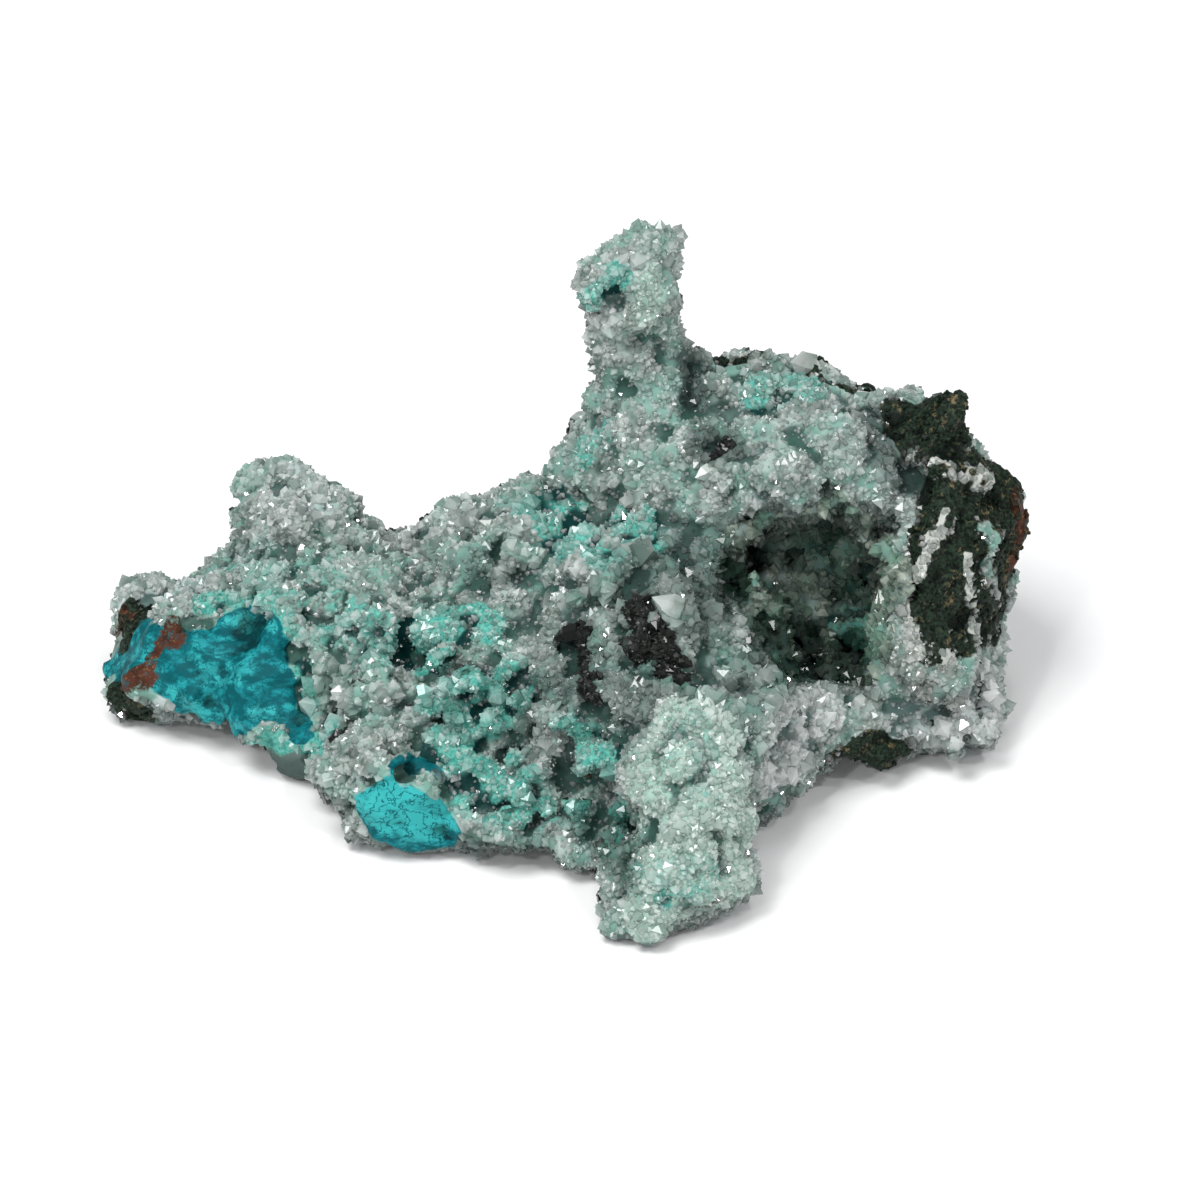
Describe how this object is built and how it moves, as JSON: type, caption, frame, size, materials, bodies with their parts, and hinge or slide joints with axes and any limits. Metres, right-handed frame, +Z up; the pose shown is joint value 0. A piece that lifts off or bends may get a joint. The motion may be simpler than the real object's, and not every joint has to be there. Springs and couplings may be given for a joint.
{
  "type": "chrysocolla mineral specimen",
  "caption": "Rough mineral specimen: blue-green chrysocolla under sparkling quartz druse on dark host rock, with a thin spire and a crystal-lined hollow. Rests on its rough underside.",
  "frame": {"origin": "on the table, under the middle of the specimen's bounding box", "axes": "+Z up; the face with the blue patch, the foot and the open hollow looks towards -Y; the longest side runs along X, from the blue ledge at -X to the dark block at +X"},
  "size_m": [0.0942, 0.0672, 0.0498],
  "materials": {
    "druse_on_host_rock": "rough natural rock with a sparkling crust of small clear quartz crystals",
    "hollow_crystals": "glassy grey-green quartz crystals"
  },
  "bodies": {
    "root": {"specimen_body": "druse_on_host_rock", "hollow_crystal_crust": "hollow_crystals"}
  },
  "joints": []
}
